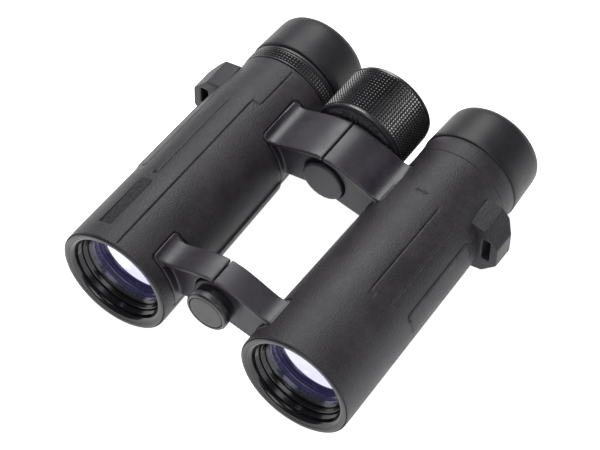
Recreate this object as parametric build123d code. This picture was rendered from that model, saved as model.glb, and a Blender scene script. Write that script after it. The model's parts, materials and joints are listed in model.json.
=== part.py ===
from build123d import *
from math import asin, cos, degrees, pi, radians, sin, sqrt
import os

# Compact roof-prism binoculars with an open bridge, in millimetres.
# X runs across the two barrels, Y along the optical axes towards the eye, Z up.
# The +X barrel is the user's left one and carries the hinge pins; the -X barrel folds.
# Lengths along a barrel are measured back from the front rim of the objective.

# ---------------------------------------------------------------- driving dimensions
LENGTH = 127.0                 # front rim to eyecup rim, eyecups down
BARREL_SPACING = 74.0          # between the optical axes, fully open
BARREL_RADIUS = 21.4           # armour at the objective end
SHOULDER_RADIUS = 20.0         # armour where the neck begins
NECK_RADIUS = 18.6             # armour at the eyepiece end
TAPER_START = 6.0
SHOULDER_AT = 80.0
NECK_AT = 98.0
ARMOUR_END = 101.0
ARMOUR_THICKNESS = 1.8
PANEL_HEIGHT = 0.45
GRIP_PANELS = ((3, 25, 40.0), (29, 47, 38.0), (51, 71, 34.5))   # start, end angle, front end
LABEL_SPAN = (7.0, 30.4)
LABEL_ANGLES = (61.0, 75.5)
LABEL_FLOOR = BARREL_RADIUS - 0.9
HINGE_LIFT = 9.0               # hinge axis above the plane of the optical axes
FOLD_ANGLE = 57.0              # fully open to the narrowest eye spacing

RUNNING = 0.05                 # radial clearance of a shaft in its bore
GAP = 0.3                      # free gap between parts that move apart

# objective end
APERTURE = 14.9                # clear radius of the retaining ring
OBJECTIVE_RADIUS = 15.5        # glass
OBJECTIVE_BORE = 18.4          # chassis bore in front
BEZEL_DEPTH = 3.0
BEZEL_RADIUS = 20.9
LENS_FRONT = 7.8               # front vertex of the objective
CELL_FRONT = 9.1
CELL_END = 19.8

# focusing group and prisms
GUIDE_BORE = 15.6              # chassis bore from the focusing group back
GUIDE_START = 60.0
FOCUS_TRAVEL = 3.2
FOCUS_CELL_FRONT = 64.0
FOCUS_CELL_END = 82.0
LINK_THICKNESS = 2.0           # along the barrel
LINK_HALF_HEIGHT = 2.2
LINK_PLAY = 0.3
PRISM_FRONT = 85.2
PRISM_END = 98.4
PRISM_HALF_WIDTH = 8.0
PRISM_HALF_HEIGHT = 8.4

# eyepiece end
OCULAR_BORE = 14.0
OCULAR_END = 121.5
OCULAR_LENS_RADIUS = 11.5
COLLAR_END = 108.0
EYECUP_START = 108.3
EYECUP_RIM_RADIUS = 19.1
EYECUP_TOP_RADIUS = 18.4
EYECUP_MOUTH = 13.2

# bridge
ARM_TOP = 21.0                 # above the plane of the optical axes, at the seam
ARM_BOTTOM = (2.4, -2.2)       # at the hinge and inside the barrel
SEAM_X = -0.5                  # where the two arms meet on top
SEAM_GAP = 0.4
PLATE_THICKNESS = 1.6
PLATE_OVERHANG = 1.1           # top plate beyond the web, at the back
ARM_RISE = {1: 0.2, -1: 1.0}   # how far the top line turns up along the barrel at its end
WEB_INSET = {1: 0.9, -1: 2.0}  # front face of the web behind the plate's, by side
KNUCKLE_RADIUS = 9.0
DISC_RADIUS = 8.2              # front knuckle of the rear bridge, and the tripod cap
PIN_RADIUS = 6.0
FRONT_ARM = (7.4, 18.4)        # top plate, front to back
FRONT_FOOT = (6.2, 19.8)
REAR_ARM = (71.2, 90.8)
REAR_FOOT = (70.8, 92.2)
FOOT_TOP_ANGLE = {1: 131.0, -1: 126.0}   # round each barrel from its outermost line, over the top
FOOT_BOTTOM_ANGLE = 189.0
FOOT_CORNER = 2.0

# centre parts
SOCKET_RADIUS = 2.55           # tapping size of a quarter-inch camera thread
SOCKET_DEPTH = 8.0
SCREW_RADIUS = 2.2
TUBE_BORE = 4.9
REAR_TUBE_FRONT = 72.6         # the disc in front of it is closed
TUBE_END = 96.0
WHEEL_FRONT = 92.5
WHEEL_END = 114.5
WHEEL_RADIUS = 17.0
WHEEL_CORE_RADIUS = 15.2

# strap lugs
LUG_REACH = 27.0               # from the optical axis
LUG_FRONT = 83.5
LUG_END = 96.0
LUG_SLOT = (20.8, 23.8)        # strap slot, inner and outer wall from the optical axis
LUG_SLOT_HEIGHT = (-3.6, 6.2)

# ---------------------------------------------------------------- derived places
FRONT_Y = -LENGTH / 2
AXIS_Z = BARREL_RADIUS
HINGE_Z = AXIS_Z + HINGE_LIFT
HALF_SPACING = BARREL_SPACING / 2
CHASSIS_RADIUS = BARREL_RADIUS - ARMOUR_THICKNESS
DEGREES_PER_MM = 180 / (pi * BARREL_RADIUS)
LINK_BACK = FOCUS_CELL_END - 0.1
LINK_FRONT = LINK_BACK - LINK_THICKNESS
CHANNEL = (LINK_FRONT - FOCUS_TRAVEL - LINK_PLAY, LINK_BACK + LINK_PLAY)
LINK_SEAT = 3.7                # bottom of the carriage groove, where the links bear
MIDDLE_KNUCKLE = (CHANNEL[0] - 2.0, CHANNEL[1] + 1.8)
SIDES = {"left": 1, "right": -1}


# ---------------------------------------------------------------- shape helpers
def lathe(*outline):
    """Turn a closed outline of (radius, distance back) points about the Y axis."""
    return revolve(make_face(Polyline(*outline, close=True)), Axis.Y)


def ring(inner, outer, front, back):
    return lathe((inner, front), (outer, front), (outer, back), (inner, back))


def rod(radius, front, back):
    return lathe((0, front), (radius, front), (radius, back), (0, back))


def sector(inner, outer, front, back, start, end):
    """Part of a ring between two angles, counted from +X up towards +Z."""
    outline = Polyline((inner, front), (outer, front), (outer, back), (inner, back), close=True)
    return Rot(0, -end, 0) * revolve(make_face(outline), Axis.Y, revolution_arc=end - start)


def block(x, y, z):
    """A box between pairs of limits."""
    corner = (min(x), min(y), min(z))
    size = (max(x) - min(x), max(y) - min(y), max(z) - min(z))
    return Pos(*corner) * Box(*size, align=(Align.MIN, Align.MIN, Align.MIN))


def slab(outline, front, back):
    """Extrude a closed (across, up) outline from one distance back to another."""
    face = Plane.XZ * make_face(outline)
    return Pos(0, front, 0) * extrude(face, amount=front - back)


def dip(radius, bend):
    """Depth of a spherical surface at a radius; a negative bend curves the other way."""
    depth = abs(bend) - sqrt(bend * bend - radius * radius)
    return depth if bend > 0 else -depth


def lens(radius, front, back, front_bend, back_bend):
    """A turned lens; positive bends bulge outwards on either face."""
    front_edge = front + dip(radius, front_bend)
    back_edge = back - dip(radius, back_bend)
    front_mid = (radius / 2, front + dip(radius / 2, front_bend))
    back_mid = (radius / 2, back - dip(radius / 2, back_bend))
    outline = [
        ThreePointArc((0, front), front_mid, (radius, front_edge)),
        Line((radius, front_edge), (radius, back_edge)),
        ThreePointArc((radius, back_edge), back_mid, (0, back)),
        Line((0, back), (0, front)),
    ]
    return revolve(make_face(outline), Axis.Y)


def on_barrel(shape, side):
    """Place a part drawn about the optical axis of the left barrel; mirror it for the right."""
    turned = shape if side > 0 else mirror(shape, about=Plane.YZ)
    return Pos(side * HALF_SPACING, FRONT_Y, AXIS_Z) * turned


def on_hinge(shape):
    return Pos(0, FRONT_Y, HINGE_Z) * shape


def save(name, shape):
    export_step(shape, f"parts/{name}.step")


# ---------------------------------------------------------------- barrel shells
def barrel_outline(inset):
    return [
        (BARREL_RADIUS - inset, TAPER_START),
        (SHOULDER_RADIUS - inset, SHOULDER_AT),
        (NECK_RADIUS - inset, NECK_AT),
        (NECK_RADIUS - inset, ARMOUR_END),
    ]


def chassis_outline():
    return [(CHASSIS_RADIUS, BEZEL_DEPTH), *barrel_outline(ARMOUR_THICKNESS)]


def link_channel():
    """The way for the focusing link, from the hinge through the inner wall of a barrel."""
    height = LINK_HALF_HEIGHT + LINK_PLAY
    return block((-HALF_SPACING, -9), CHANNEL, (HINGE_LIFT - height, HINGE_LIFT + height))


def chassis_tube():
    bores = [
        (GUIDE_BORE, ARMOUR_END),
        (GUIDE_BORE, GUIDE_START),
        (OBJECTIVE_BORE - 1.6, GUIDE_START),
        (OBJECTIVE_BORE - 1.6, CELL_END + 0.2),
        (OBJECTIVE_BORE, CELL_END + 0.2),
        (OBJECTIVE_BORE, BEZEL_DEPTH),
    ]
    return lathe(*chassis_outline(), *bores) - link_channel()


def foot_space(side, span, margin):
    """Room for a bridge foot in the armour, between two angles round the barrel."""
    top = FOOT_TOP_ANGLE[side] - margin * DEGREES_PER_MM
    bottom = FOOT_BOTTOM_ANGLE + margin * DEGREES_PER_MM
    space = sector(5, BARREL_RADIUS + 2, span[0] - margin, span[1] + margin, top, bottom)
    straight = space.edges().filter_by(GeomType.LINE)
    corners = [edge for edge in straight if edge.center().Z > 5 and abs(edge.tangent_at(0).Y) < 0.5]
    return fillet(corners, FOOT_CORNER + margin)


def armour_shell():
    inside = [*reversed(barrel_outline(ARMOUR_THICKNESS)), (CHASSIS_RADIUS, BEZEL_DEPTH)]
    lip = [
        (BEZEL_RADIUS, BEZEL_DEPTH),
        (BEZEL_RADIUS, 0.5),
        (BARREL_RADIUS - 0.25, 0.5),
        (BARREL_RADIUS, 0.9),
    ]
    return lathe(*lip, *barrel_outline(0), *inside)


def side_panels():
    """Three raised grip panels along the outer side; their front ends step back."""
    panels = []
    taper = (BARREL_RADIUS - SHOULDER_RADIUS) / (SHOULDER_AT - TAPER_START)
    for start, end, front in GRIP_PANELS:
        front_radius = BARREL_RADIUS - taper * (front - TAPER_START)
        outline = Polyline(
            (front_radius - 1, front),
            (front_radius + PANEL_HEIGHT, front),
            (SHOULDER_RADIUS + PANEL_HEIGHT, SHOULDER_AT),
            (SHOULDER_RADIUS - 1, SHOULDER_AT),
            close=True,
        )
        strip = revolve(make_face(outline), Axis.Y, revolution_arc=end - start)
        panels.append(Rot(0, -end, 0) * strip)
    return panels


def armour(side):
    shell = armour_shell()
    for panel in side_panels():
        shell += panel
    for span in (FRONT_FOOT, REAR_FOOT):
        shell -= foot_space(side, span, GAP)
    shell -= lug_body(GAP)
    if side < 0:
        front, back = LABEL_SPAN
        start, end = LABEL_ANGLES
        shell -= sector(LABEL_FLOOR, BARREL_RADIUS + 2, front, back, start, end)
    return shell


def label_plate():
    front, back = LABEL_SPAN
    start, end = LABEL_ANGLES
    return sector(LABEL_FLOOR, BARREL_RADIUS - 0.4, front + 0.1, back - 0.1, start + 0.3, end - 0.3)


# ---------------------------------------------------------------- strap lug
def lug_body(margin):
    """The faceted arch of the lug, standing on the chassis."""
    root = NECK_RADIUS - ARMOUR_THICKNESS - 2
    arch = Polyline(
        (root, 12.0 + margin),
        (LUG_REACH - 5.5, 10.6 + margin),
        (LUG_REACH + margin, 4.2),
        (LUG_REACH + margin, -4.6),
        (LUG_REACH - 5.5, -10.6 - margin),
        (root, -12.0 - margin),
        close=True,
    )
    solid = slab(arch, LUG_FRONT - margin, LUG_END + margin)
    return solid - lathe((0, 0), *chassis_outline(), (0, ARMOUR_END))


def strap_lug():
    slot = block(LUG_SLOT, (LUG_FRONT - 5, LUG_END + 5), LUG_SLOT_HEIGHT)
    back_slope = Polyline((LUG_REACH - 4.0, LUG_END + 1), (LUG_REACH + 1, LUG_END + 1),
                          (LUG_REACH + 1, LUG_END - 4.5), close=True)
    bevel = Pos(0, 0, -20) * extrude(make_face(back_slope), amount=40)
    return lug_body(0) - slot - bevel


# ---------------------------------------------------------------- objective end
def objective_bezel():
    return lathe(
        (17.0, 1.4), (20.2, 0), (20.5, 0), (BEZEL_RADIUS, 0.5), (BEZEL_RADIUS, BEZEL_DEPTH),
        (18.0, BEZEL_DEPTH), (18.0, 2.6), (17.3, 2.6),
    )


def objective_retainer():
    return lathe(
        (17.3, BEZEL_DEPTH), (OBJECTIVE_BORE, BEZEL_DEPTH), (OBJECTIVE_BORE, CELL_FRONT),
        (APERTURE, CELL_FRONT), (APERTURE, 7.6), (15.6, 7.0), (16.2, 7.0), (16.2, 5.0), (17.3, 5.0),
    )


def objective_cell():
    return lathe(
        (OBJECTIVE_RADIUS, CELL_FRONT), (OBJECTIVE_BORE, CELL_FRONT), (OBJECTIVE_BORE, CELL_END),
        (14.4, CELL_END), (14.4, 16.4), (OBJECTIVE_RADIUS, 16.4),
    )


CEMENT_BEND = 60.0
CEMENT_AT = 13.8


def crown_lens():
    return lens(OBJECTIVE_RADIUS, LENS_FRONT, CEMENT_AT, 78.0, CEMENT_BEND)


def flint_lens():
    return lens(OBJECTIVE_RADIUS, CEMENT_AT, 15.8, -CEMENT_BEND, -300.0)


# ---------------------------------------------------------------- focusing group and prisms
def focus_cell():
    outer = GUIDE_BORE - 0.06
    body = lathe(
        (13.4, FOCUS_CELL_FRONT), (outer, FOCUS_CELL_FRONT), (outer, FOCUS_CELL_END),
        (14.0, FOCUS_CELL_END), (14.0, 71.0), (12.8, 71.0), (12.8, 69.6), (13.4, 69.6),
    )
    low = HINGE_LIFT - LINK_HALF_HEIGHT
    high = HINGE_LIFT + LINK_HALF_HEIGHT
    link = block((-HALF_SPACING, -11), (LINK_FRONT, LINK_BACK), (low, high))
    link -= rod(14.0, 0, LENGTH)
    link -= Pos(-HALF_SPACING, 0, HINGE_LIFT) * rod(LINK_SEAT, 0, LENGTH)
    return body + link


def focus_lens():
    return lens(13.4, 66.2, 68.4, -70.0, 120.0)


def prism_cage():
    opening = block(
        (-PRISM_HALF_WIDTH, PRISM_HALF_WIDTH),
        (PRISM_FRONT - 2, PRISM_END + 2),
        (-PRISM_HALF_HEIGHT, PRISM_HALF_HEIGHT),
    )
    return rod(GUIDE_BORE, PRISM_FRONT - 0.6, PRISM_END + 0.4) - opening


def prism(outline):
    """A prism of full width from its (distance back, up) side outline."""
    face = Plane.YZ * make_face(Polyline(*outline, close=True))
    return Pos(-PRISM_HALF_WIDTH, 0, 0) * extrude(face, amount=2 * PRISM_HALF_WIDTH)


def half_prism():
    top = PRISM_HALF_HEIGHT
    return prism([
        (PRISM_FRONT, top), (PRISM_FRONT, 2.4 - top), (PRISM_FRONT + 2.4, -top),
        (PRISM_FRONT + 4.2, -top), (PRISM_END - 2.0, top),
    ])


def roof_prism():
    top = PRISM_HALF_HEIGHT
    body = prism([(PRISM_END, -top), (PRISM_END, top), (PRISM_END - 1.6, top), (PRISM_FRONT + 4.6, -top)])
    roof = Rot(0, 45, 0) * Box(30, 60, 30)
    return body & (Pos(0, PRISM_END, sqrt(2) * 15 - top) * roof)


# ---------------------------------------------------------------- eyepiece end
def ocular_tube():
    return ring(OCULAR_BORE, GUIDE_BORE, PRISM_END + 0.6, OCULAR_END)


def ocular_cell():
    outer = OCULAR_BORE - RUNNING
    return lathe(
        (OCULAR_LENS_RADIUS, 101.5), (outer, 101.5), (outer, 119.5),
        (10.8, 119.5), (10.8, 119.0), (OCULAR_LENS_RADIUS, 119.0),
    )


def field_lens():
    return lens(OCULAR_LENS_RADIUS, 102.4, 107.4, 60.0, 40.0)


def eye_lens():
    return lens(OCULAR_LENS_RADIUS, 112.0, 118.8, 90.0, 42.0)


def ocular_collar():
    return lathe(
        (GUIDE_BORE, ARMOUR_END + 0.2), (NECK_RADIUS, ARMOUR_END + 0.2),
        (NECK_RADIUS, COLLAR_END), (GUIDE_BORE, COLLAR_END),
    )


def dioptre_ring():
    """Grip ring with fine teeth round its middle."""
    front = ARMOUR_END + 0.3
    back = 106.4
    body = ring(GUIDE_BORE + 0.08, 18.6, front, back)
    grip = ring(18.6, 18.95, front + 0.5, back - 0.6)
    return body + grip


def index_ring():
    return ring(GUIDE_BORE, 18.5, 106.7, COLLAR_END)


GUIDE_RING = (15.66, 16.4)
SLEEVE = (16.45, 17.4)


def eyecup_guide():
    return ring(*GUIDE_RING, 110.0, 114.0)


def eyecup_sleeve():
    inner, outer = SLEEVE
    return lathe(
        (inner, 108.6), (outer, 108.6), (outer, 123.4), (EYECUP_MOUTH, 123.4),
        (EYECUP_MOUTH, 122.0), (inner, 122.0),
    )


def eyecup_rubber():
    rim = LENGTH - 3.3
    round_mid = (EYECUP_TOP_RADIUS - 3.0 + 3.0 * sin(radians(45)), rim + 3.3 * sin(radians(45)))
    outline = [
        Line((SLEEVE[1], EYECUP_START), (EYECUP_RIM_RADIUS, EYECUP_START)),
        Line((EYECUP_RIM_RADIUS, EYECUP_START), (EYECUP_TOP_RADIUS, rim)),
        ThreePointArc((EYECUP_TOP_RADIUS, rim), round_mid, (EYECUP_TOP_RADIUS - 3.0, LENGTH)),
        Line((EYECUP_TOP_RADIUS - 3.0, LENGTH), (EYECUP_MOUTH + 0.7, LENGTH)),
        Line((EYECUP_MOUTH + 0.7, LENGTH), (EYECUP_MOUTH, LENGTH - 0.8)),
        Line((EYECUP_MOUTH, LENGTH - 0.8), (EYECUP_MOUTH, 123.4)),
        Line((EYECUP_MOUTH, 123.4), (SLEEVE[1], 123.4)),
        Line((SLEEVE[1], 123.4), (SLEEVE[1], EYECUP_START)),
    ]
    return revolve(make_face(outline), Axis.Y)


# ---------------------------------------------------------------- bridge arms
# Drawn from the left barrel's optical axis: the hinge axis is at -HALF_SPACING.
def arm_top(side, start, radius):
    """The saddle-shaped top line of an arm, from the seam until it lies on the barrel."""
    angle = radians(FOOT_TOP_ANGLE[side] + 1)
    end = (HALF_SPACING + radius * cos(angle), radius * sin(angle))
    points = [(start, ARM_TOP), (4.5, 20.6), (11.0, 18.6), (17.0, 16.3), end]
    return points, [(1, 0), (sin(angle), -ARM_RISE[side] * cos(angle))]


def arm_section(side, start, radius):
    top, ends = arm_top(side, start, radius)
    low_start, low_root = ARM_BOTTOM
    root = top[-1][0]
    return [
        Spline(*top, tangents=ends),
        Polyline(top[-1], (root, low_root), (start, low_start), top[0]),
    ]


def plate_section(side, start, radius):
    top, ends = arm_top(side, start, radius)
    under = [(x, z - PLATE_THICKNESS) for x, z in top]
    return [
        Spline(*top, tangents=ends),
        Line(top[-1], under[-1]),
        Spline(*under, tangents=ends),
        Line(under[0], top[0]),
    ]


def wedge(front, back):
    """The space under the hinge that the other arm needs when the barrels fold."""
    half = FOLD_ANGLE / 2 + 2.0
    return sector(DISC_RADIUS, 3 * KNUCKLE_RADIUS, front, back, -90 - half, -90 + half)


def bridge_arm(side, arm, radius, foot, own, foreign, bore_front):
    """An arm with its foot in the armour, its own knuckles, and room for the other arm's."""
    front, back = arm
    start = side * SEAM_X + SEAM_GAP / 2
    web = slab(arm_section(side, start, radius), front + WEB_INSET[side], back - PLATE_OVERHANG)
    plate = slab(plate_section(side, start, radius), front, back)
    solid = web + plate
    hinge = Pos(0, 0, HINGE_LIFT)
    solid -= hinge * wedge(0, LENGTH)
    for radius, knuckle_front, knuckle_back in foreign:
        solid -= hinge * rod(radius + GAP, knuckle_front - GAP, knuckle_back + GAP)
    for radius, knuckle_front, knuckle_back in own:
        solid += hinge * rod(radius, knuckle_front, knuckle_back)
    bore = PIN_RADIUS if side > 0 else PIN_RADIUS + RUNNING
    solid -= hinge * rod(bore, bore_front, LENGTH)
    solid = Pos(-HALF_SPACING, 0, 0) * solid
    solid -= lathe((0, 0), *chassis_outline(), (0, ARMOUR_END))
    shell = armour_shell() & foot_space(side, foot, 0)
    return solid + shell


# Knuckles as (radius, front, back); the right barrel's run on the pins fixed to the left.
REAR_OWN = {
    1: [(KNUCKLE_RADIUS, *MIDDLE_KNUCKLE)],
    -1: [
        (DISC_RADIUS, REAR_ARM[0] - 0.4, MIDDLE_KNUCKLE[0] - GAP),
        (KNUCKLE_RADIUS, MIDDLE_KNUCKLE[1] + GAP, REAR_ARM[1] - PLATE_OVERHANG),
    ],
}
FRONT_OWN = {
    1: [(KNUCKLE_RADIUS, 8.2, 10.9), (KNUCKLE_RADIUS, 15.1, FRONT_ARM[1] - PLATE_OVERHANG)],
    -1: [(KNUCKLE_RADIUS, 11.2, 14.8)],
}


def front_arm(side):
    cap_space = (DISC_RADIUS, 0, 8.2)
    foreign = [*FRONT_OWN[-side], cap_space]
    own = FRONT_OWN[side]
    return bridge_arm(side, FRONT_ARM, BARREL_RADIUS - 0.2, FRONT_FOOT, own, foreign, bore_front=0)


def link_windows(side):
    """Openings at the hinge for the two focusing links; the right one sweeps with the fold."""
    height = LINK_HALF_HEIGHT + LINK_PLAY
    half = degrees(asin(height / TUBE_BORE))
    still = block((0, 30), CHANNEL, (-height, height))
    if side < 0:
        return still
    return still + sector(LINK_SEAT, 12, *CHANNEL, 180 - half, 180 + half + FOLD_ANGLE)


def rear_arm(side):
    bore_front = REAR_TUBE_FRONT - 0.2
    own, foreign = REAR_OWN[side], REAR_OWN[-side]
    solid = bridge_arm(side, REAR_ARM, SHOULDER_RADIUS - 0.2, REAR_FOOT, own, foreign, bore_front)
    return solid - Pos(-HALF_SPACING, 0, HINGE_LIFT) * link_windows(side)


# ---------------------------------------------------------------- hinge and tripod socket
CAP_FRONT = 2.4
SOCKET_FRONT = 4.4


def front_hinge_pin():
    """Hinge pin whose threaded front end takes a tripod adapter under the cap."""
    pin = rod(PIN_RADIUS, SOCKET_FRONT, FRONT_ARM[1] - PLATE_OVERHANG - 0.4)
    return pin - rod(SOCKET_RADIUS, SOCKET_FRONT - 1, SOCKET_FRONT + SOCKET_DEPTH)


def tripod_cap():
    skirt = PIN_RADIUS + 0.1
    return lathe(
        (0, CAP_FRONT + 0.7), (6.8, CAP_FRONT + 0.7), (6.8, CAP_FRONT), (7.5, CAP_FRONT),
        (DISC_RADIUS, CAP_FRONT + 0.7), (DISC_RADIUS, 7.9), (skirt, 7.9),
        (skirt, SOCKET_FRONT - 0.2), (0, SOCKET_FRONT - 0.2),
    )


def tripod_cap_disc():
    return rod(6.6, CAP_FRONT - 0.1, CAP_FRONT + 0.7)


def rear_hinge_tube():
    tube = ring(TUBE_BORE, PIN_RADIUS, REAR_TUBE_FRONT, TUBE_END)
    return tube - link_windows(1)


def hinge_washers():
    """Thin discs that close the pins behind the last knuckles."""
    front = ring(0, KNUCKLE_RADIUS - 1, FRONT_ARM[1] - PLATE_OVERHANG, FRONT_ARM[1] - 0.3)
    rear = ring(PIN_RADIUS, KNUCKLE_RADIUS - 1, REAR_ARM[1] - PLATE_OVERHANG + 0.1, REAR_ARM[1])
    return Compound(children=[on_hinge(front), on_hinge(rear)])


def spindle_bush():
    return ring(SCREW_RADIUS + RUNNING, TUBE_BORE, 91.5, TUBE_END)


# ---------------------------------------------------------------- focus drive
def focus_screw():
    return rod(SCREW_RADIUS, MIDDLE_KNUCKLE[0] - 1.5, 112.0)


def focus_carriage():
    """Nut in the hinge tube; the links of both barrels sit in its groove."""
    outer = TUBE_BORE - 0.08
    groove = LINK_SEAT - 0.06
    return lathe(
        (SCREW_RADIUS + RUNNING, LINK_FRONT - 3.0), (outer, LINK_FRONT - 3.0),
        (outer, LINK_FRONT - 0.06), (groove, LINK_FRONT - 0.06), (groove, LINK_BACK + 0.06),
        (outer, LINK_BACK + 0.06), (outer, LINK_BACK + 3.0), (SCREW_RADIUS + RUNNING, LINK_BACK + 3.0),
    )


def focus_wheel_hub():
    neck = PIN_RADIUS + 0.08
    return lathe(
        (neck, 93.0), (WHEEL_CORE_RADIUS, 93.0), (WHEEL_CORE_RADIUS, 112.0), (13.2, 112.0),
        (13.2, 98.5), (7.5, 98.5), (7.5, 112.0), (SCREW_RADIUS, 112.0),
        (SCREW_RADIUS, TUBE_END + GAP), (neck, TUBE_END + GAP),
    )


def focus_wheel_grip():
    inner = WHEEL_CORE_RADIUS
    return lathe(
        (inner, WHEEL_FRONT), (16.3, WHEEL_FRONT), (16.7, WHEEL_FRONT + 0.5),
        (16.7, WHEEL_FRONT + 2.2), (WHEEL_RADIUS, WHEEL_FRONT + 2.5), (WHEEL_RADIUS, WHEEL_END - 2.5),
        (16.7, WHEEL_END - 2.2), (16.7, WHEEL_END - 0.6), (16.1, WHEEL_END), (inner, WHEEL_END),
    )


def focus_wheel_cap():
    return lathe(
        (0, 112.0), (WHEEL_CORE_RADIUS, 112.0), (WHEEL_CORE_RADIUS, WHEEL_END - 0.3),
        (14.4, WHEEL_END), (13.0, WHEEL_END), (12.0, WHEEL_END - 0.7), (0, WHEEL_END - 0.7),
    )


# ---------------------------------------------------------------- write every node
BARREL_NODES = {
    "chassis_tube": chassis_tube,
    "strap_lug": strap_lug,
    "objective_bezel": objective_bezel,
    "objective_retainer": objective_retainer,
    "objective_cell": objective_cell,
    "crown_lens": crown_lens,
    "flint_lens": flint_lens,
    "focus_cell": focus_cell,
    "focus_lens": focus_lens,
    "prism_cage": prism_cage,
    "half_prism": half_prism,
    "roof_prism": roof_prism,
    "ocular_tube": ocular_tube,
    "ocular_cell": ocular_cell,
    "field_lens": field_lens,
    "eye_lens": eye_lens,
    "eyecup_guide": eyecup_guide,
    "eyecup_sleeve": eyecup_sleeve,
    "eyecup_rubber": eyecup_rubber,
}
CENTRE_NODES = {
    "front_hinge_pin": front_hinge_pin,
    "tripod_cap": tripod_cap,
    "tripod_cap_disc": tripod_cap_disc,
    "rear_hinge_tube": rear_hinge_tube,
    "spindle_bush": spindle_bush,
    "focus_screw": focus_screw,
    "focus_carriage": focus_carriage,
    "focus_wheel_hub": focus_wheel_hub,
    "focus_wheel_grip": focus_wheel_grip,
    "focus_wheel_cap": focus_wheel_cap,
}


def main():
    os.makedirs("parts", exist_ok=True)
    for name, side in SIDES.items():
        for node, make in BARREL_NODES.items():
            save(f"{name}_{node}", on_barrel(make(), side))
        save(f"{name}_armour", on_barrel(armour(side), side))
        save(f"{name}_front_arm", on_barrel(front_arm(side), side))
        save(f"{name}_rear_arm", on_barrel(rear_arm(side), side))
    save("left_ocular_collar", on_barrel(ocular_collar(), 1))
    save("right_dioptre_ring", on_barrel(dioptre_ring(), -1))
    save("right_index_ring", on_barrel(index_ring(), -1))
    save("right_label_plate", on_barrel(label_plate(), -1))
    for node, make in CENTRE_NODES.items():
        save(node, on_hinge(make()))
    save("hinge_washers", hinge_washers())


main()
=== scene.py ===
import json
import math

import bmesh
import bpy
from mathutils import Matrix, Vector

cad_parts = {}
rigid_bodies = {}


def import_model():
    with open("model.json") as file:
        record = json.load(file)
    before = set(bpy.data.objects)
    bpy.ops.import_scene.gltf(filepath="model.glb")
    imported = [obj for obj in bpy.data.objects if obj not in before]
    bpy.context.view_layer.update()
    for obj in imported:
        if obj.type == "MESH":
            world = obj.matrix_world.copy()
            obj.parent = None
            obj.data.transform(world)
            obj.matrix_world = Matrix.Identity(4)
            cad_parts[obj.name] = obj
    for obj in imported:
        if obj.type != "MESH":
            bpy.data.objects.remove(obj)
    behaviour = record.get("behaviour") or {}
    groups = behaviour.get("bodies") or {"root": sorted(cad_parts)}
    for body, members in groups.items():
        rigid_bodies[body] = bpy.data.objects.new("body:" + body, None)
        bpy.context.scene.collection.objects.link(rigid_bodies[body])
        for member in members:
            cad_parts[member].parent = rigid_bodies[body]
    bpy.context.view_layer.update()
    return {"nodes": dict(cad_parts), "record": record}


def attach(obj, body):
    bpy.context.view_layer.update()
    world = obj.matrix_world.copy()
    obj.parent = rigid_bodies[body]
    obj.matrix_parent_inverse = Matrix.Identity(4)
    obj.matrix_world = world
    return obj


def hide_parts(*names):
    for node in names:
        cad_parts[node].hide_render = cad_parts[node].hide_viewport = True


# Compact open-bridge binoculars: the looks, modelled round the fixed frame.
# X runs across the barrels, Y along the optical axes towards the eye, Z up.
# Lengths below are in millimetres; distances along a barrel count back from the front rim.

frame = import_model()

MM = 0.001
FRONT_Y = -63.5
AXIS_Z = 21.4
HALF_SPACING = 37.0
HINGE_Z = 30.4
BARREL_SEGMENTS = 180          # two degrees each
RIM_SEGMENTS = 144
RING_SEGMENTS = 120
ARMOUR_RADIUS = 21.4
SHOULDER_RADIUS = 20.0
NECK_RADIUS = 18.6
TAPER_START = 6.0
SHOULDER_AT = 80.0
NECK_AT = 98.0

# What is cut into the armour or raised on it. Spans run along the barrel, angles round it.
FRONT_FOOT = (5.5, 20.5)
REAR_FOOT = (70.1, 92.9)
FOOT_ANGLES = {1: (130, 190), -1: (124, 190)}
FOOT_CORNER = 2.4
CORNER_STEPS = (0.75, 1.5, 2.25)
LABEL_SPAN = (7.0, 30.4)
LABEL_ANGLES = (60, 76)
GRIP_LINES = ((26, 40.0), (48, 38.0), (72, 34.5))      # angle and front end
GRIP_END = 77.0
GRIP_PANEL = (2, 25)
GRIP_PANEL_GAP = 0.3
GRIP_PANEL_HEIGHT = 0.4
SEAM_ANGLE = 94
SEAM_STEP_ANGLE = 104
TICK = 6
LOWER_RIB = (184, 198)
LOWER_RIB_SPAN = (20.5, 70.1)
LOWER_RIB_HEIGHT = 0.8
FOOT_DEPTH = 1.0
FOOT_RIM = 0.4
LABEL_DEPTH = 0.8
GROOVE_WIDTH = 0.22
GROOVE_DEPTH = 0.6
PATCH_SLOPE = 0.16

# Knurled bands. A pyramid is given by its taper and its height.
WHEEL_RADIUS = 16.5
WHEEL_BAND = (94.3, 112.7)
WHEEL_ROWS = 15
WHEEL_COLUMNS = 84
WHEEL_PYRAMID = (0.47, 0.5)
DIOPTRE_RADIUS = 18.5
DIOPTRE_BAND = (102.1, 105.6)
DIOPTRE_ROWS = 3
DIOPTRE_PYRAMID = (0.34, 0.38)
CAP_RADIUS = 7.9
CAP_BAND = (3.0, 5.3)
CAP_TEETH = 90
CAP_PYRAMID = (0.14, 0.14)

# Fine thread inside the objective funnel.
THREAD_PITCH = 0.46
THREAD_RIDGE = 0.36            # width of one ridge

# Castings: voxel size of the remesh, and smoothing passes.
ARM_CASTING = (0.28, 14)
LUG_CASTING = (0.25, 16)

SIDES = {"left": 1, "right": -1}
BARREL_BODY = {"left": "root", "right": "right_barrel"}

# How far from its exact place a face, edge or vertex still counts when it is picked.
FACE_DEPTH = 0.8
VERTEX_DEPTH = 0.3
BAND_REACH = 0.15
BACK_REACH = 0.1
ANGLE_REACH = 0.5              # degrees


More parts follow.
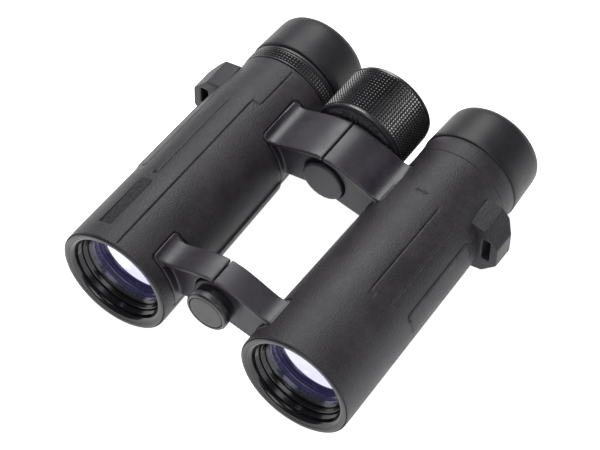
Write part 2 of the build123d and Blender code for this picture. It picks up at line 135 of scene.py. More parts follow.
# ---------------------------------------------------------------- finishes
def new_group(name, inputs, outputs):
    group = bpy.data.node_groups.new(name, "ShaderNodeTree")
    for label, kind, value in inputs:
        socket = group.interface.new_socket(label, in_out="INPUT", socket_type=kind)
        socket.default_value = value
    for label, kind in outputs:
        group.interface.new_socket(label, in_out="OUTPUT", socket_type=kind)
    start = group.nodes.new("NodeGroupInput")
    end = group.nodes.new("NodeGroupOutput")
    return group, start, end


def noise(tree, coords, scale, detail, rough=0.55):
    node = tree.nodes.new("ShaderNodeTexNoise")
    node.inputs["Detail"].default_value = detail
    node.inputs["Roughness"].default_value = rough
    tree.links.new(coords, node.inputs["Vector"])
    if isinstance(scale, (int, float)):
        node.inputs["Scale"].default_value = scale
    else:
        tree.links.new(scale, node.inputs["Scale"])
    return node.outputs["Fac"]


def maths(tree, operation, first, second, clamp=False):
    node = tree.nodes.new("ShaderNodeMath")
    node.operation = operation
    node.use_clamp = clamp
    for place, value in enumerate((first, second)):
        if isinstance(value, (int, float)):
            node.inputs[place].default_value = value
        else:
            tree.links.new(value, node.inputs[place])
    return node.outputs[0]


def spread(tree, value, low, high, to_low=0.0, to_high=1.0):
    node = tree.nodes.new("ShaderNodeMapRange")
    node.interpolation_type = "SMOOTHSTEP"
    tree.links.new(value, node.inputs["Value"])
    node.inputs["From Min"].default_value = low
    node.inputs["From Max"].default_value = high
    node.inputs["To Min"].default_value = to_low
    node.inputs["To Max"].default_value = to_high
    return node.outputs["Result"]


def blend_colours(tree, factor, first, second):
    node = tree.nodes.new("ShaderNodeMix")
    node.data_type = "RGBA"
    tree.links.new(factor, node.inputs[0])
    for socket, value in ((node.inputs[6], first), (node.inputs[7], second)):
        if isinstance(value, (tuple, list)):
            socket.default_value = (*value[:3], 1.0)
        else:
            tree.links.new(value, socket)
    return node.outputs[2]


def make_grain_group():
    """Pebbled moulding grain: fine bumps broken up by a coarser drift."""
    group, start, end = new_group(
        "moulded_grain",
        [("Position", "NodeSocketVector", (0, 0, 0)), ("Scale", "NodeSocketFloat", 2000.0)],
        [("Height", "NodeSocketFloat"), ("Pits", "NodeSocketFloat")],
    )
    cells = group.nodes.new("ShaderNodeTexVoronoi")
    cells.feature = "SMOOTH_F1"
    group.links.new(start.outputs["Position"], cells.inputs["Vector"])
    group.links.new(start.outputs["Scale"], cells.inputs["Scale"])
    fine = noise(group, start.outputs["Position"], start.outputs["Scale"], 3.0, 0.6)
    pebble = spread(group, cells.outputs["Distance"], 0.1, 0.75, 1.0, 0.0)
    pebble_part = maths(group, "MULTIPLY", pebble, 0.65)
    fine_part = maths(group, "MULTIPLY", fine, 0.5)
    group.links.new(maths(group, "ADD", pebble_part, fine_part), end.inputs["Height"])
    group.links.new(spread(group, fine, 0.52, 0.3), end.inputs["Pits"])
    return group


def make_mottle_group():
    """Slow drift of tone over a surface, such as skin oils and uneven moulding leave."""
    group, start, end = new_group(
        "tone_drift",
        [("Position", "NodeSocketVector", (0, 0, 0)), ("Size", "NodeSocketFloat", 60.0)],
        [("Mask", "NodeSocketFloat"), ("Smudge", "NodeSocketFloat")],
    )
    broad = noise(group, start.outputs["Position"], start.outputs["Size"], 5.0, 0.6)
    small_size = maths(group, "MULTIPLY", start.outputs["Size"], 7.0)
    small = noise(group, start.outputs["Position"], small_size, 4.0)
    broad_part = maths(group, "MULTIPLY", broad, 0.7)
    small_part = maths(group, "MULTIPLY", small, 0.3)
    mask = maths(group, "ADD", broad_part, small_part)
    group.links.new(spread(group, mask, 0.34, 0.66), end.inputs["Mask"])
    group.links.new(spread(group, broad, 0.55, 0.72), end.inputs["Smudge"])
    return group


def make_wear_and_highlight_group():
    """Rubbed corners and painted edge highlights: convex edges, broken by noise."""
    group, start, end = new_group(
        "rubbed_edges",
        [("Position", "NodeSocketVector", (0, 0, 0)), ("Low", "NodeSocketFloat", 0.52),
         ("High", "NodeSocketFloat", 0.6)],
        [("Mask", "NodeSocketFloat")],
    )
    shape = group.nodes.new("ShaderNodeNewGeometry")
    broken = noise(group, start.outputs["Position"], 900.0, 3.0)
    sharp = group.nodes.new("ShaderNodeMapRange")
    group.links.new(shape.outputs["Pointiness"], sharp.inputs["Value"])
    group.links.new(start.outputs["Low"], sharp.inputs["From Min"])
    group.links.new(start.outputs["High"], sharp.inputs["From Max"])
    patchy = spread(group, broken, 0.3, 0.62, 0.35, 1.0)
    wear_and_highlight = maths(group, "MULTIPLY", sharp.outputs["Result"], patchy, clamp=True)
    group.links.new(wear_and_highlight, end.inputs["Mask"])
    return group


GRAIN = make_grain_group()
MOTTLE = make_mottle_group()
EDGE_WEAR_AND_HIGHLIGHT = make_wear_and_highlight_group()
PIT_SHADE = 0.55               # tone of a pit, as a share of the dark tone
SMUDGE_GLOSS = 0.05            # roughness that a smudge takes away
SHEEN_ROUGHNESS = 0.45


def place_group(material, group, position, **values):
    node = material.node_tree.nodes.new("ShaderNodeGroup")
    node.node_tree = group
    material.node_tree.links.new(position, node.inputs["Position"])
    for label, value in values.items():
        node.inputs[label].default_value = value
    return node


def finish(name, dark, light, rough, grain=2000.0, bump=0.2, depth=0.05, wear_and_highlight=None, wear_and_highlight_range=(0.53, 0.62),
           metallic=0.0, coat=0.0, coat_rough=0.2, sheen=0.0, specular=0.5, tone_size=60.0, painted_glow=None,
           pits=0.5):
    """A surface from its dark and light tones, roughness range, grain, and an edge colour for rubbed wear
    and painted edge highlights.
    """
    material = bpy.data.materials.new(name)
    material.use_nodes = True
    tree = material.node_tree
    surface = tree.nodes["Principled BSDF"]
    position = tree.nodes.new("ShaderNodeTexCoord").outputs["Object"]
    grains = place_group(material, GRAIN, position, Scale=grain)
    tones = place_group(material, MOTTLE, position, Size=tone_size)
    edges = place_group(material, EDGE_WEAR_AND_HIGHLIGHT, position, Low=wear_and_highlight_range[0], High=wear_and_highlight_range[1])
    colour = blend_colours(tree, tones.outputs["Mask"], dark, light)
    pitted = tuple(channel * PIT_SHADE for channel in dark)
    colour = blend_colours(tree, maths(tree, "MULTIPLY", grains.outputs["Pits"], pits), colour, pitted)
    # Convex edges take the edge colour. This is rubbed wear, and on the bridge paint and the anodising it is
    # a painted highlight.
    if wear_and_highlight:
        colour = blend_colours(tree, edges.outputs["Mask"], colour, wear_and_highlight)
    tree.links.new(colour, surface.inputs["Base Color"])
    roughness = spread(tree, tones.outputs["Mask"], 0.0, 1.0, rough[0], rough[1])
    smudge = maths(tree, "MULTIPLY", tones.outputs["Smudge"], SMUDGE_GLOSS)
    smudged = maths(tree, "SUBTRACT", roughness, smudge)
    tree.links.new(smudged, surface.inputs["Roughness"])
    relief = tree.nodes.new("ShaderNodeBump")
    relief.inputs["Strength"].default_value = bump
    relief.inputs["Distance"].default_value = depth * MM
    tree.links.new(grains.outputs["Height"], relief.inputs["Height"])
    tree.links.new(relief.outputs["Normal"], surface.inputs["Normal"])
    surface.inputs["Metallic"].default_value = metallic
    surface.inputs["Coat Weight"].default_value = coat
    surface.inputs["Coat Roughness"].default_value = coat_rough
    surface.inputs["Sheen Weight"].default_value = sheen
    surface.inputs["Sheen Roughness"].default_value = SHEEN_ROUGHNESS
    surface.inputs["Specular IOR Level"].default_value = specular
    # Painted glow: the surface gives off light of its own, though it is no lamp.
    if painted_glow:
        surface.inputs["Emission Color"].default_value = (*painted_glow, 1.0)
        surface.inputs["Emission Strength"].default_value = 1.0
    return material


FINISHES = {
    "armour_rubber": finish(
        "armour_rubber_grain", (0.022, 0.0195, 0.0245), (0.040, 0.0365, 0.042), (0.48, 0.58),
        grain=1900.0, bump=1.0, depth=0.1, wear_and_highlight=(0.04, 0.038, 0.044), specular=0.38, pits=0.8,
    ),
    "cast_alloy": finish(
        "cast_alloy_black", (0.014, 0.014, 0.015), (0.022, 0.022, 0.024), (0.45, 0.58),
        grain=3000.0, bump=0.15, wear_and_highlight=(0.06, 0.06, 0.065), pits=0.15,
    ),
    # The pale edge colour of the bridge paint, on a narrow edge mask, is a painted highlight along the arms'
    # edges.
    "satin_black_alloy": finish(
        "satin_bridge_paint", (0.018, 0.0155, 0.023), (0.029, 0.025, 0.036), (0.36, 0.46),
        grain=3200.0, bump=0.25, depth=0.03, wear_and_highlight=(0.10, 0.095, 0.11), wear_and_highlight_range=(0.512, 0.56),
        specular=0.42,
    ),
    # The pale edge colour of the anodising paints glints onto the ring's lips and thread crests.
    "black_anodised": finish(
        "gloss_black_anodised", (0.003, 0.003, 0.0035), (0.006, 0.006, 0.007), (0.16, 0.26),
        grain=2600.0, bump=0.05, wear_and_highlight=(0.16, 0.155, 0.17), specular=0.45, coat=0.3, coat_rough=0.08,
    ),
    # The lens has a faint violet painted glow, which tints the dark part of its reflection.
    "coated_glass": finish(
        "coated_lens", (0.58, 0.58, 0.78), (0.66, 0.66, 0.85), (0.02, 0.03),
        grain=900.0, bump=0.0, metallic=1.0, painted_glow=(0.014, 0.012, 0.040), pits=0.0,
    ),
    "prism_glass": finish(
        "prism_glass_tint", (0.10, 0.10, 0.12), (0.13, 0.13, 0.15), (0.02, 0.05),
        grain=900.0, bump=0.0, metallic=0.3, coat=1.0, coat_rough=0.02, pits=0.0,
    ),
    "slider_plastic": finish(
        "slider_plastic_black", (0.010, 0.010, 0.011), (0.016, 0.016, 0.017), (0.4, 0.5),
        grain=3000.0, bump=0.1, pits=0.15,
    ),
    "satin_plastic": finish(
        "satin_plastic_black", (0.012, 0.011, 0.013), (0.019, 0.0175, 0.021), (0.34, 0.44),
        grain=2800.0, bump=0.25, depth=0.03, wear_and_highlight=(0.07, 0.067, 0.073), specular=0.5,
    ),
    "eyecup_rubber": finish(
        "eyecup_rubber_satin", (0.012, 0.011, 0.0135), (0.019, 0.0175, 0.021), (0.44, 0.52),
        grain=2600.0, bump=0.4, depth=0.05, wear_and_highlight=(0.04, 0.038, 0.044), specular=0.34, sheen=0.03,
    ),
    "label_plate": finish(
        "label_plate_blank", (0.004, 0.004, 0.0045), (0.007, 0.007, 0.008), (0.5, 0.6),
        grain=2400.0, bump=0.1, depth=0.02, wear_and_highlight=(0.03, 0.03, 0.033), specular=0.2,
    ),
    "pin_steel": finish(
        "pin_steel_ground", (0.38, 0.38, 0.39), (0.5, 0.5, 0.51), (0.22, 0.34),
        grain=1500.0, bump=0.1, metallic=1.0,
    ),
    "brass_parts": finish(
        "turned_brass", (0.6, 0.43, 0.18), (0.72, 0.55, 0.26), (0.24, 0.34),
        grain=1500.0, bump=0.1, metallic=1.0,
    ),
    "grip_rubber": finish(
        "grip_rubber_knurled", (0.007, 0.0065, 0.0085), (0.012, 0.011, 0.0145), (0.26, 0.36),
        grain=2600.0, bump=0.2, depth=0.03, wear_and_highlight=(0.06, 0.058, 0.066), specular=0.8,
    ),
    "bezel_grey": finish(
        "bezel_satin_grey", (0.018, 0.017, 0.02), (0.027, 0.025, 0.029), (0.34, 0.44),
        grain=2600.0, bump=0.3, depth=0.04, wear_and_highlight=(0.12, 0.115, 0.13), specular=0.6,
    ),
}


# ---------------------------------------------------------------- modelling helpers
def deselect_all():
    if bpy.context.object and bpy.context.object.mode != "OBJECT":
        bpy.ops.object.mode_set(mode="OBJECT")
    bpy.ops.object.select_all(action="DESELECT")


def edit():
    bpy.ops.object.mode_set(mode="EDIT")


def leave():
    bpy.ops.object.mode_set(mode="OBJECT")


def settle(name):
    """Name the active object and put its place into its mesh."""
    piece = bpy.context.object
    piece.name = name
    piece.data.name = name
    bpy.ops.object.transform_apply(location=True, rotation=True, scale=True)
    return piece


def select(test, kind="FACE"):
    """In edit mode, select only the faces, edges or vertices that pass a test."""
    bpy.ops.mesh.select_mode(type=kind)
    bpy.ops.mesh.select_all(action="DESELECT")
    mesh = bmesh.from_edit_mesh(bpy.context.object.data)
    items = {"FACE": mesh.faces, "EDGE": mesh.edges, "VERT": mesh.verts}[kind]
    for item in items:
        if test(item):
            item.select_set(True)
    mesh.select_flush_mode()
    bmesh.update_edit_mesh(bpy.context.object.data)


def centre(side):
    """Middle of a barrel, or of the hinge when side is 0, as (x, z)."""
    return (side * HALF_SPACING, AXIS_Z) if side else (0.0, HINGE_Z)


def turned(name, outline, side=0, segments=96):
    """Turn an outline of (radius, distance back) about a barrel or the hinge."""
    x, z = centre(side)
    middle = (x * MM, 0, z * MM)
    deselect_all()
    radius, back = outline[0]
    start = radius if radius else outline[1][0]
    if not radius:
        back = outline[1][1]
        outline = outline[1:]
    bpy.ops.mesh.primitive_circle_add(
        vertices=segments, radius=start * MM, rotation=(math.pi / 2, 0, 0),
        location=(x * MM, (FRONT_Y + back) * MM, z * MM))
    piece = settle(name)
    edit()
    bpy.ops.mesh.select_mode(type="EDGE")
    bpy.ops.mesh.select_all(action="SELECT")
    capped = not radius
    for new_radius, new_back in outline[1:]:
        bpy.ops.mesh.extrude_region_move(TRANSFORM_OT_translate={"value": (0, (new_back - back) * MM, 0)})
        if new_radius:
            ratio = new_radius / start
            bpy.ops.transform.resize(value=(ratio, 1, ratio), center_override=middle)
            start = new_radius
        else:
            bpy.ops.mesh.merge(type="CENTER")
        back = new_back
    bpy.ops.mesh.select_mode(type="EDGE")
    bpy.ops.mesh.select_all(action="DESELECT")
    bpy.ops.mesh.select_non_manifold()
    if capped:
        bpy.ops.mesh.extrude_region_move(TRANSFORM_OT_translate={"value": (0, 0, 0)})
        bpy.ops.mesh.merge(type="CENTER")
    else:
        bpy.ops.mesh.bridge_edge_loops()
    bpy.ops.mesh.select_all(action="SELECT")
    bpy.ops.mesh.normals_make_consistent(inside=False)
    leave()
    return piece


def smooth(piece, angle=35):
    deselect_all()
    piece.select_set(True)
    bpy.context.view_layer.objects.active = piece
    bpy.ops.object.shade_smooth_by_angle(angle=math.radians(angle))


def subdivide(piece):
    bpy.context.view_layer.objects.active = piece
    bpy.ops.object.modifier_add(type="SUBSURF")
    modifier = piece.modifiers[-1]
    modifier.levels = 1
    bpy.ops.object.modifier_apply(modifier=modifier.name)


def dress(piece, finish_name, body, *nodes, slot=None):
    """Give a piece its finish, and say what it rides on and which frame nodes it stands for."""
    piece.data.materials.clear()
    piece.data.materials.append(FINISHES[finish_name])
    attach(piece, body)
    if nodes:
        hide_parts(*nodes)
    return piece


SEAM_MERGE = 0.002
RELAX_FACTOR = 0.6


def cast_copy(node, name, casting):
    """A soft-edged casting from a frame node: copied, merged, remeshed finely and relaxed."""
    voxel, softening = casting
    deselect_all()
    source = frame["nodes"][node]
    source.select_set(True)
    bpy.context.view_layer.objects.active = source
    bpy.ops.object.duplicate()
    piece = bpy.context.object
    piece.parent = None
    for key in list(piece.keys()):
        del piece[key]
    settle(name)
    edit()
    bpy.ops.mesh.select_all(action="SELECT")
    bpy.ops.mesh.remove_doubles(threshold=SEAM_MERGE * MM)
    bpy.ops.mesh.normals_make_consistent(inside=False)
    leave()
    bpy.ops.object.modifier_add(type="REMESH")
    remesh = piece.modifiers[-1]
    remesh.mode = "VOXEL"
    remesh.voxel_size = voxel * MM
    bpy.ops.object.modifier_apply(modifier=remesh.name)
    bpy.ops.object.modifier_add(type="SMOOTH")
    relax = piece.modifiers[-1]
    relax.factor = RELAX_FACTOR
    relax.iterations = softening
    bpy.ops.object.modifier_apply(modifier=relax.name)
    deselect_all()
    piece.select_set(True)
    bpy.context.view_layer.objects.active = piece
    bpy.ops.object.shade_smooth()
    return piece


def angle_on_barrel(point, side):
    """Degrees round a barrel, from its outermost line over the top."""
    across = side * (point.x / MM - side * HALF_SPACING)
    up = point.z / MM - AXIS_Z
    return math.degrees(math.atan2(up, across)) % 360


def radius_on_barrel(point, side):
    return math.hypot(point.x / MM - side * HALF_SPACING, point.z / MM - AXIS_Z)


def back_of(point):
    return point.y / MM - FRONT_Y


def outside_radius(back):
    """Armour radius at a distance back from the front rim."""
    if back <= TAPER_START:
        return ARMOUR_RADIUS
    if back <= SHOULDER_AT:
        share = (back - TAPER_START) / (SHOULDER_AT - TAPER_START)
        return ARMOUR_RADIUS + share * (SHOULDER_RADIUS - ARMOUR_RADIUS)
    if back <= NECK_AT:
        share = (back - SHOULDER_AT) / (NECK_AT - SHOULDER_AT)
        return SHOULDER_RADIUS + share * (NECK_RADIUS - SHOULDER_RADIUS)
    return NECK_RADIUS


def patch(side, angles, span, corner=0.0):
    """Test for the outer faces of a barrel between two angles and two distances back."""
    low, high = angles
    front, back = span

    def in_corner(away, angle):
        along_edge = min(away - front, back - away)
        from_top = math.radians(angle - low) * outside_radius(away)
        if along_edge > corner or from_top > corner:
            return False
        return math.hypot(corner - along_edge, corner - from_top) > corner

    def inside(face):
        middle = face.calc_center_median()
        away = back_of(middle)
        if not front < away < back or radius_on_barrel(middle, side) < outside_radius(away) - FACE_DEPTH:
            return False
        angle = angle_on_barrel(middle, side)
        return low < angle < high and not in_corner(away, angle)

    return inside


def scale_about_barrel(side, ratio):
    x, z = centre(side)
    bpy.ops.transform.resize(value=(ratio, 1, ratio), center_override=(x * MM, 0, z * MM))


def raise_patch(side, angles, span, height):
    select(patch(side, angles, span))
    bpy.ops.mesh.inset(thickness=PATCH_SLOPE * MM, depth=0)
    scale_about_barrel(side, 1 + height / outside_radius(sum(span) / 2))
    bpy.ops.mesh.inset(thickness=PATCH_SLOPE * MM, depth=0)


def sink_patch(side, angles, span, depth, rim=0.2, corner=0.0):
    select(patch(side, angles, span, corner))
    bpy.ops.mesh.inset(thickness=rim * MM, depth=0)
    bpy.ops.mesh.extrude_region_move(TRANSFORM_OT_translate={"value": (0, 0, 0)})
    scale_about_barrel(side, 1 - depth / outside_radius(sum(span) / 2))
    bpy.ops.mesh.inset(thickness=rim * MM, depth=0)


def on_armour(side, vertex):
    return radius_on_barrel(vertex.co, side) > outside_radius(back_of(vertex.co)) - VERTEX_DEPTH


def along(side, angle, front, back):
    """Test for the lengthwise edges of the armour at an angle."""
    def on_line(vertex):
        if not on_armour(side, vertex) or abs(angle_on_barrel(vertex.co, side) - angle) >= ANGLE_REACH:
            return False
        return front - BACK_REACH < back_of(vertex.co) < back + BACK_REACH

    return lambda edge: all(on_line(vertex) for vertex in edge.verts)


def around(side, back, low, high):
    """Test for the edges of the armour that run round it at a distance back."""
    def on_line(vertex):
        if not on_armour(side, vertex) or abs(back_of(vertex.co) - back) >= BACK_REACH:
            return False
        return low - ANGLE_REACH < angle_on_barrel(vertex.co, side) < high + ANGLE_REACH

    return lambda edge: all(on_line(vertex) for vertex in edge.verts)


def cut_grooves(side, tests):
    """Widen lines of edges and press their middle in."""
    select(lambda edge: any(test(edge) for test in tests), "EDGE")
    bpy.ops.mesh.bevel(offset=GROOVE_WIDTH * MM, segments=2, affect="EDGES", offset_type="OFFSET")
    bpy.ops.mesh.select_mode(type="VERT")
    bpy.ops.mesh.select_less()
    scale_about_barrel(side, 1 - GROOVE_DEPTH / SHOULDER_RADIUS)


# ---------------------------------------------------------------- armour
ARMOUR_STATIONS = sorted({
    1.6, 3.4, LABEL_SPAN[0], 10.0, 13.5, 16.5, 23.5, 27.0, LABEL_SPAN[1],
    GRIP_LINES[2][1], GRIP_LINES[1][1], GRIP_LINES[0][1], 46.0, 52.0, 58.0, 64.0,
    75.0, GRIP_END, SHOULDER_AT, 84.0, 88.0, 96.0, NECK_AT, 99.6, 100.4,
    *(foot[0] + step for foot in (FRONT_FOOT, REAR_FOOT) for step in (0.0, *CORNER_STEPS)),
    *(foot[1] - step for foot in (FRONT_FOOT, REAR_FOOT) for step in (0.0, *CORNER_STEPS)),
})


def make_armour(name, side):
    outline = [(20.9, 3.0), (20.9, 0.9), (20.98, 0.58), (21.2, 0.5), (21.36, 0.72), (ARMOUR_RADIUS, 1.1)]
    outline += [(outside_radius(back), back) for back in ARMOUR_STATIONS]
    outline += [(NECK_RADIUS, 100.92), (NECK_RADIUS - 0.08, 101.02), (16.8, 101.02), (16.8, 98.0)]
    outline += [(18.2, SHOULDER_AT), (19.6, TAPER_START), (19.6, 3.0)]
    shell = turned(f"{name}_armour_skin", outline, side, BARREL_SEGMENTS)
    edit()
    lines = []
    for angle, front in GRIP_LINES:
        lines.append(along(side, angle, front, GRIP_END))
        lines.append(around(side, front, angle - TICK, angle))
    if side < 0:
        lines.append(along(side, SEAM_ANGLE, 1.6, SHOULDER_AT))
        lines.append(along(side, SEAM_STEP_ANGLE, SHOULDER_AT, 99.6))
    lines.append(around(side, SHOULDER_AT, 90 if side > 0 else SEAM_ANGLE, SEAM_STEP_ANGLE))
    cut_grooves(side, lines)
    raise_patch(side, GRIP_PANEL, (GRIP_LINES[0][1] + GRIP_PANEL_GAP, GRIP_END), GRIP_PANEL_HEIGHT)
    raise_patch(side, LOWER_RIB, LOWER_RIB_SPAN, LOWER_RIB_HEIGHT)
    for span in (FRONT_FOOT, REAR_FOOT):
        sink_patch(side, FOOT_ANGLES[side], span, FOOT_DEPTH, FOOT_RIM, FOOT_CORNER)
    if side < 0:
        sink_patch(side, LABEL_ANGLES, LABEL_SPAN, LABEL_DEPTH)
    leave()
    subdivide(shell)
    smooth(shell, 40)
    return dress(shell, "armour_rubber", BARREL_BODY[name], f"{name}_armour")


# ---------------------------------------------------------------- objective end
def make_bezel(name, side):
    bezel = turned(f"{name}_objective_bezel_ring", [
        (19.0, 3.0), (19.0, 0.5), (19.06, 0.34), (19.3, 0.2), (19.7, 0.06), (20.15, 0.0),
        (20.5, 0.04), (20.72, 0.2), (20.82, 0.5), (20.82, 3.0),
    ], side, RIM_SEGMENTS)
    smooth(bezel, 45)
    return dress(bezel, "bezel_grey", BARREL_BODY[name], f"{name}_objective_bezel", slot="satin_black_alloy")


def thread_ridges(radius, crest, start, turns):
    """Outline of the ridges of a fine thread on an inner wall."""
    outline = []
    for turn in range(turns):
        at = start + turn * THREAD_PITCH
        outline += [(radius, at), (crest, at + THREAD_RIDGE / 2), (radius, at + THREAD_RIDGE)]
    return outline


def make_retainer(name, side):
    """Glossy black funnel in front of the objective, with a fine thread on each step."""
    outline = [
        (18.95, 3.0), (18.95, 0.46), (18.8, 0.48), (18.4, 0.7), (17.9, 1.1), (17.55, 1.6),
        (17.35, 2.2), (17.3, 3.0),
    ]
    outline += thread_ridges(17.3, 17.12, 3.1, 4)
    outline += [(17.3, 5.0), (16.45, 5.0), (16.2, 5.2)]
    outline += thread_ridges(16.2, 16.04, 5.4, 3)
    outline += [(16.2, 6.9), (15.6, 6.9), (15.45, 7.05), (14.9, 7.5), (14.9, 9.1), (18.2, 9.1), (18.2, 3.0)]
    retainer = turned(f"{name}_objective_retaining_ring", outline, side, RIM_SEGMENTS)
    smooth(retainer, 25)
    return dress(retainer, "black_anodised", BARREL_BODY[name], f"{name}_objective_retainer")


# ---------------------------------------------------------------- eyepiece end
def knurl(side, radius, band, pyramid):
    """Turn the faces of a smooth band into small blunt pyramids, in edit mode."""
    x, z = centre(side)
    front, back = band
    taper, height = pyramid

    def on_band(face):
        middle = face.calc_center_median()
        away = math.hypot(middle.x / MM - x, middle.z / MM - z)
        return front < back_of(middle) < back and abs(away - radius) < BAND_REACH

    select(on_band)
    bpy.ops.mesh.inset(thickness=taper * MM, depth=height * MM, use_individual=True)


def banded_outline(before, radius, band, rows, after):
    """Outline with a straight band split into even rows between its two ends."""
    front, back = band
    step = (back - front) / rows
    return before + [(radius, front + step * row) for row in range(rows + 1)] + after


def make_eyecup(name, side):
    cup = turned(f"{name}_eyecup_skin", [
        (17.4, 108.35), (18.7, 108.3), (19.0, 108.5), (19.1, 108.9), (18.95, 112.0), (18.75, 116.0),
        (18.55, 120.0), (18.4, 123.2), (18.2, 124.6), (17.7, 125.7), (16.9, 126.5), (15.9, 126.93),
        (14.9, 127.0), (14.1, 126.8), (13.5, 126.3), (13.25, 125.6), (13.2, 123.4), (17.4, 123.4),
    ], side, 96)
    smooth(cup, 45)
    return dress(cup, "eyecup_rubber", f"{name}_eyecup", f"{name}_eyecup_rubber")


def make_collar():
    collar = turned("left_ocular_collar_ring", [
        (16.0, 101.06), (18.5, 101.06), (18.6, 101.18), (18.66, 104.5), (18.8, 107.9), (18.72, 108.06),
        (16.0, 108.06),
    ], 1, RING_SEGMENTS)
    smooth(collar)
    return dress(collar, "armour_rubber", "root", "left_ocular_collar", slot="satin_plastic")


def make_dioptre_ring():
    outline = banded_outline(
        [(15.8, 101.35), (18.45, 101.35), (18.75, 101.55), (18.75, 101.9), (18.5, 102.05)],
        DIOPTRE_RADIUS, DIOPTRE_BAND, DIOPTRE_ROWS,
        [(18.75, 105.75), (18.75, 106.15), (18.5, 106.35), (15.8, 106.35)])
    ring = turned("right_dioptre_ring_knurled", outline, -1, 96)
    edit()
    knurl(-1, DIOPTRE_RADIUS, DIOPTRE_BAND, DIOPTRE_PYRAMID)
    leave()
    smooth(ring, 20)
    return dress(ring, "satin_plastic", "dioptre_ring", "right_dioptre_ring")


def make_index_ring():
    ring = turned("right_index_ring_plain", [
        (15.9, 106.72), (18.2, 106.72), (18.45, 106.95), (18.45, 107.7), (18.2, 107.95), (15.9, 107.95),
    ], -1, RING_SEGMENTS)
    smooth(ring)
    return dress(ring, "satin_plastic", "right_barrel", "right_index_ring")


# ---------------------------------------------------------------- focus wheel and front cap
def make_focus_wheel():
    outline = banded_outline(
        [(15.2, 92.5), (16.1, 92.5), (16.5, 92.7), (16.7, 93.1), (16.7, 93.8), (16.4, 94.1), (16.5, 94.2)],
        WHEEL_RADIUS, WHEEL_BAND, WHEEL_ROWS,
        [(16.5, 112.75), (16.4, 112.85), (16.7, 113.1), (16.7, 113.9), (16.5, 114.3), (16.1, 114.5),
         (15.2, 114.5)])
    grip = turned("focus_wheel_grip_knurled", outline, 0, WHEEL_COLUMNS)
    edit()
    knurl(0, WHEEL_RADIUS, WHEEL_BAND, WHEEL_PYRAMID)
    leave()
    smooth(grip, 20)
    return dress(grip, "grip_rubber", "focus_wheel", "focus_wheel_grip")


def make_wheel_cap():
    cap = turned("focus_wheel_end_cap", [
        (0, 112.0), (15.2, 112.0), (15.2, 114.1), (14.9, 114.4), (14.4, 114.5), (13.2, 114.5),
        (12.7, 114.35), (12.2, 113.9), (11.8, 113.8), (6.0, 113.8), (5.8, 113.65), (5.6, 113.8), (0, 113.8),
    ], 0, 96)
    smooth(cap)
    return dress(cap, "satin_plastic", "focus_wheel", "focus_wheel_cap")


def make_tripod_cap():
    cap = turned("tripod_cap_toothed", [
        (6.72, 3.1), (6.72, 2.7), (6.84, 2.46), (7.15, 2.38), (7.5, 2.48), (7.78, 2.72), (7.9, 3.0),
        (7.9, 5.3), (7.8, 5.5), (7.55, 5.7), (7.5, 7.85), (6.1, 7.9), (6.1, 4.3), (6.72, 4.2),
    ], 0, CAP_TEETH)
    edit()
    knurl(0, CAP_RADIUS, CAP_BAND, CAP_PYRAMID)
    leave()
    smooth(cap, 20)
    return dress(cap, "grip_rubber", "tripod_cap", "tripod_cap", slot="satin_plastic")


def make_cap_disc():
    disc = turned("tripod_cap_inlay", [
        (0, 2.42), (5.0, 2.42), (6.2, 2.42), (6.42, 2.5), (6.55, 2.75), (6.55, 4.2),
        (0, 4.2),
    ], 0, 96)
    smooth(disc, 50)
    return dress(disc, "bezel_grey", "tripod_cap", "tripod_cap_disc", slot="satin_black_alloy")


# ---------------------------------------------------------------- build
for name, side in SIDES.items():
    make_armour(name, side)
    make_bezel(name, side)
    make_retainer(name, side)
    make_eyecup(name, side)
    body = BARREL_BODY[name]
    for end in ("front", "rear"):
        arm = cast_copy(f"{name}_{end}_arm", f"{name}_{end}_bridge_arm", ARM_CASTING)
        dress(arm, "satin_black_alloy", body, f"{name}_{end}_arm")
    lug = cast_copy(f"{name}_strap_lug", f"{name}_strap_lug_cast", LUG_CASTING)
    dress(lug, "armour_rubber", body, f"{name}_strap_lug", slot="cast_alloy")

make_collar()
make_dioptre_ring()
make_index_ring()
make_focus_wheel()
make_wheel_cap()
make_tripod_cap()
make_cap_disc()

# Every node that still shows takes the finish of its own material slot.
slot_of = {part["node"]: part["material_slot"] for part in frame["record"]["subparts"]}
for node in frame["nodes"].values():
    if node.hide_render:
        continue
    finish_name = slot_of[node.name]
    node.data.materials.clear()
    node.data.materials.append(FINISHES[finish_name])


# ---------------------------------------------------------------- floor, lights and camera
CAMERA_AZIMUTH = 33.51
CAMERA_ELEVATION = 52.13
CAMERA_ROLL = 1.39
CAMERA_DISTANCE = 862.8
CAMERA_TARGET = (0.7, -6.7, 21.4)
LENS = 150
SENSOR_WIDTH = 36
FLOOR_SIZE = 6                 # metres
AIR_BRIGHTNESS = 0.14


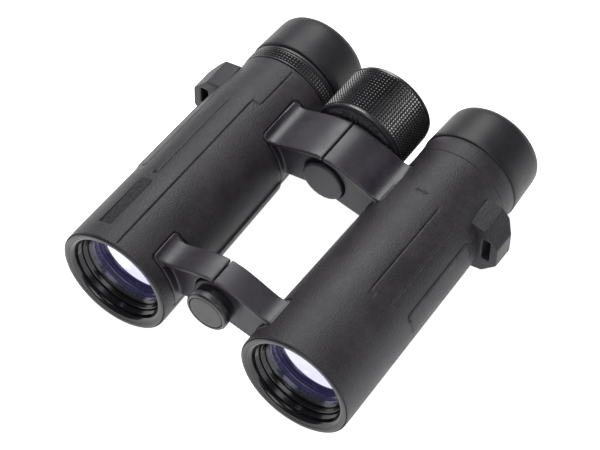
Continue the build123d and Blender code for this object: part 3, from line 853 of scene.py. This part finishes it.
def make_floor():
    deselect_all()
    bpy.ops.mesh.primitive_plane_add(size=FLOOR_SIZE, location=(0, 0, 0))
    floor = settle("studio_floor")
    material = bpy.data.materials.new("pale_floor")
    material.use_nodes = True
    tree = material.node_tree
    surface = tree.nodes["Principled BSDF"]
    position = tree.nodes.new("ShaderNodeTexCoord").outputs["Object"]
    tones = noise(tree, position, 3.0, 3.0)
    colour = blend_colours(tree, tones, (0.90, 0.90, 0.90), (0.93, 0.93, 0.93))
    tree.links.new(colour, surface.inputs["Base Color"])
    surface.inputs["Roughness"].default_value = 0.7
    surface.inputs["Specular IOR Level"].default_value = 0.2
    surface.inputs["Emission Color"].default_value = (1, 1, 1, 1)
    surface.inputs["Emission Strength"].default_value = 0.95
    floor.data.materials.append(material)


def soft_light(name, place, aim, size, power):
    data = bpy.data.lights.new(name, "AREA")
    data.shape = "RECTANGLE"
    data.size, data.size_y = size
    data.energy = power
    lamp = bpy.data.objects.new(name, data)
    bpy.context.scene.collection.objects.link(lamp)
    lamp.location = place
    lamp.rotation_euler = (Vector(aim) - Vector(place)).to_track_quat("-Z", "Y").to_euler()


def make_camera():
    azimuth = math.radians(CAMERA_AZIMUTH)
    elevation = math.radians(CAMERA_ELEVATION)
    roll = math.radians(CAMERA_ROLL)
    target = Vector(CAMERA_TARGET) * MM
    level_reach = math.cos(elevation)
    back = Vector((
        math.sin(azimuth) * level_reach, -math.cos(azimuth) * level_reach, math.sin(elevation)))
    level = Vector((math.cos(azimuth), math.sin(azimuth), 0))
    upright = back.cross(level)
    right = level * math.cos(roll) + upright * math.sin(roll)
    up = back.cross(right)
    data = bpy.data.cameras.new("studio_camera")
    data.lens = LENS
    data.sensor_width = SENSOR_WIDTH
    data.clip_start = 0.01
    camera = bpy.data.objects.new("studio_camera", data)
    bpy.context.scene.collection.objects.link(camera)
    turn = Matrix((right, up, back)).transposed().to_4x4()
    camera.matrix_world = Matrix.Translation(target + back * CAMERA_DISTANCE * MM) @ turn
    bpy.context.scene.camera = camera


make_floor()
soft_light("rear_left_key", (-0.42, 0.52, 0.75), (0, 0, 0.02), (0.6, 0.5), 7.6)
soft_light("overhead_fill", (0.1, 0.05, 1.0), (0, 0, 0), (0.6, 0.6), 3.2)
soft_light("front_fill", (0.4, -0.8, 0.5), (0, 0, 0.02), (0.5, 0.4), 2.0)
world = bpy.data.worlds.new("studio_air")
bpy.context.scene.world = world
world.use_nodes = True
world.node_tree.nodes["Background"].inputs["Color"].default_value = (1, 1, 1, 1)
world.node_tree.nodes["Background"].inputs["Strength"].default_value = AIR_BRIGHTNESS
bpy.context.scene.view_settings.view_transform = "Standard"
make_camera()
deselect_all()
